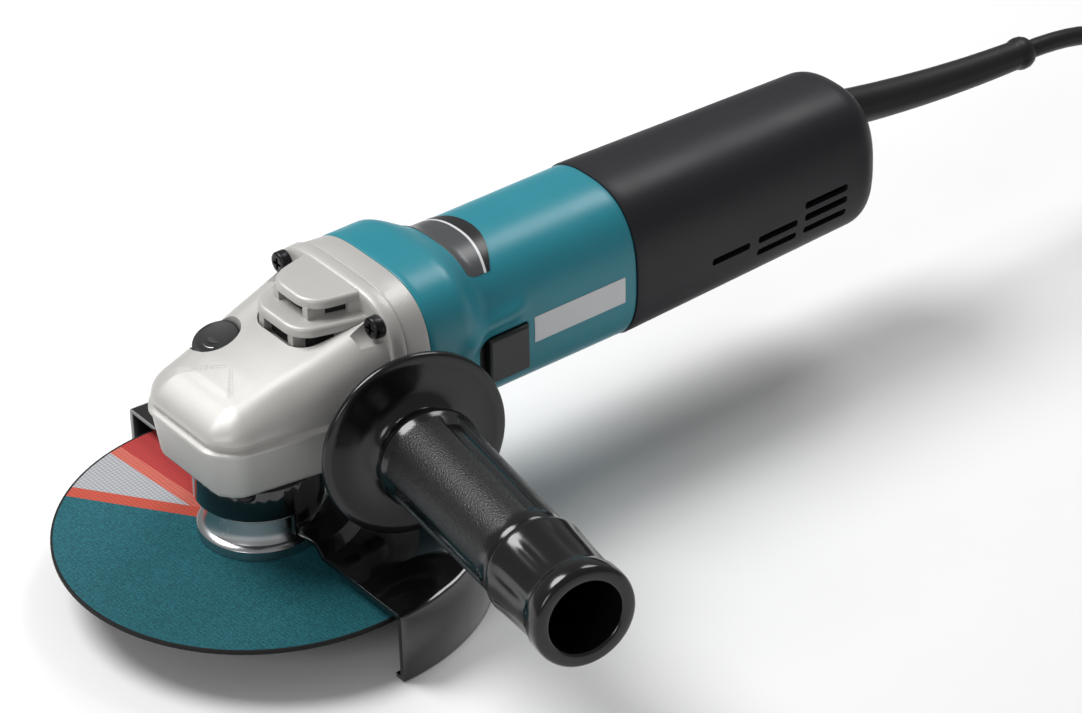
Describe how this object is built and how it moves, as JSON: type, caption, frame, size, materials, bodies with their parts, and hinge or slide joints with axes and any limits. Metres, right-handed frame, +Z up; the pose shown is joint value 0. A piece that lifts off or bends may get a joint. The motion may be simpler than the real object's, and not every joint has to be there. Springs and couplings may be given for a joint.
{
  "type": "angle grinder",
  "caption": "Corded angle grinder with a bevel-gear head, guarded cut-off wheel, side handle, slide switch, louvred motor body and a coiled mains lead.",
  "frame": {"origin": "the spindle's free end, on its axis", "axes": "+Z up the spindle, away from the wheel; +X along the motor's axis towards the mains lead; the side handle stands on -Y"},
  "size_m": [0.5402, 0.3051, 0.113],
  "materials": {
    "head_paint": "satin, fine speckle",
    "dark_steel": "blackened",
    "bearing_steel": "polished",
    "steel": "machined",
    "spring_steel": "drawn wire",
    "flange_steel": "polished, dark",
    "seal_rubber": "matte",
    "wheel_resin": "resin-bonded grit over glass-fibre mesh",
    "button_plastic": "satin",
    "guard_enamel": "gloss black",
    "handle_plastic": "gloss with grained panels",
    "teal_plastic": "satin teal",
    "grey_plastic": "matte",
    "lamination": "stacked sheet",
    "copper": "enamelled copper",
    "brass": "pressed",
    "carbon": "graphite",
    "switch_plastic": "satin black",
    "cover_plastic": "satin charcoal",
    "relief_rubber": "satin",
    "cord_rubber": "satin",
    "tie_plastic": "satin"
  },
  "bodies": {
    "housing": {"gear_housing": "head_paint", "bearing_box": "head_paint", "bearing_box_screws": "dark_steel", "gear_housing_cover": "head_paint", "gear_housing_screws": "dark_steel", "spindle_bearing": "bearing_steel", "bearing_retainer": "steel", "spindle_needle_bearing": "bearing_steel", "spindle_seal": "seal_rubber", "motor_housing": "teal_plastic", "fan_baffle": "grey_plastic", "pinion_bearing": "bearing_steel", "rear_armature_bearing": "bearing_steel", "stator_core": "lamination", "stator_windings": "copper", "brush_holders": "brass", "brush_spring_upper": "spring_steel", "brush_spring_lower": "spring_steel", "lock_spring": "spring_steel", "power_switch": "grey_plastic", "rear_cover": "cover_plastic", "rear_cover_screw": "dark_steel", "strain_relief": "relief_rubber", "cord_lead_in": "cord_rubber", "cord_clamp": "grey_plastic", "cord_clamp_screws": "dark_steel", "side_handle": "handle_plastic", "side_handle_stud": "steel", "cord": "cord_rubber", "cord_coil": "cord_rubber", "cord_tie": "tie_plastic", "cord_tail": "cord_rubber", "plug": "cord_rubber", "plug_pins": "brass"},
    "spindle_assembly": {"spindle": "steel", "inner_flange": "flange_steel", "lock_nut": "flange_steel", "cutting_wheel": "wheel_resin", "driven_gear": "steel"},
    "armature": {"armature_shaft": "steel", "armature_core": "lamination", "armature_windings": "copper", "commutator": "copper", "cooling_fan": "grey_plastic", "drive_pinion": "steel"},
    "guard": {"wheel_guard": "guard_enamel", "guard_clamp_screw": "dark_steel", "guard_clamp_nut": "dark_steel"},
    "shaft_lock": {"lock_button": "button_plastic", "lock_pin": "steel"},
    "switch_slide": {"switch_slider": "switch_plastic", "switch_rod": "grey_plastic"},
    "brush_upper": {"carbon_brush_upper": "carbon"},
    "brush_lower": {"carbon_brush_lower": "carbon"}
  },
  "joints": [
    {"name": "spindle_spin", "type": "hinge", "parent": "housing", "child": "spindle_assembly", "pos_m": [0, 0, 0.04], "axis": [0, 0, 1], "continuous": true},
    {"name": "armature_spin", "type": "hinge", "parent": "housing", "child": "armature", "pos_m": [0.1, 0, 0.0702], "axis": [1, 0, 0], "continuous": true},
    {"name": "guard_turn", "type": "hinge", "parent": "housing", "child": "guard", "pos_m": [0, 0, 0.038], "axis": [0, 0, 1], "range_deg": [-90, 90]},
    {"name": "lock_press", "type": "slide", "parent": "housing", "child": "shaft_lock", "axis": [0, 0, -1], "range_m": [0, 0.004], "stiffness_N_per_m": 500, "springref_m": -0.004, "deforming": ["lock_spring"]},
    {"name": "switch_slide", "type": "slide", "parent": "housing", "child": "switch_slide", "axis": [-1, 0, 0], "range_m": [0, 0.006]},
    {"name": "brush_upper_slide", "type": "slide", "parent": "housing", "child": "brush_upper", "axis": [0, 0, -1], "range_m": [-0.003, 0], "stiffness_N_per_m": 400, "springref_m": 0.01, "deforming": ["brush_spring_upper"]},
    {"name": "brush_lower_slide", "type": "slide", "parent": "housing", "child": "brush_lower", "axis": [0, 0, 1], "range_m": [-0.003, 0], "stiffness_N_per_m": 400, "springref_m": 0.01, "deforming": ["brush_spring_lower"]}
  ],
  "couplings": [
    {"joint": "armature_spin", "follows": "spindle_spin", "ratio": 3.2}
  ]
}
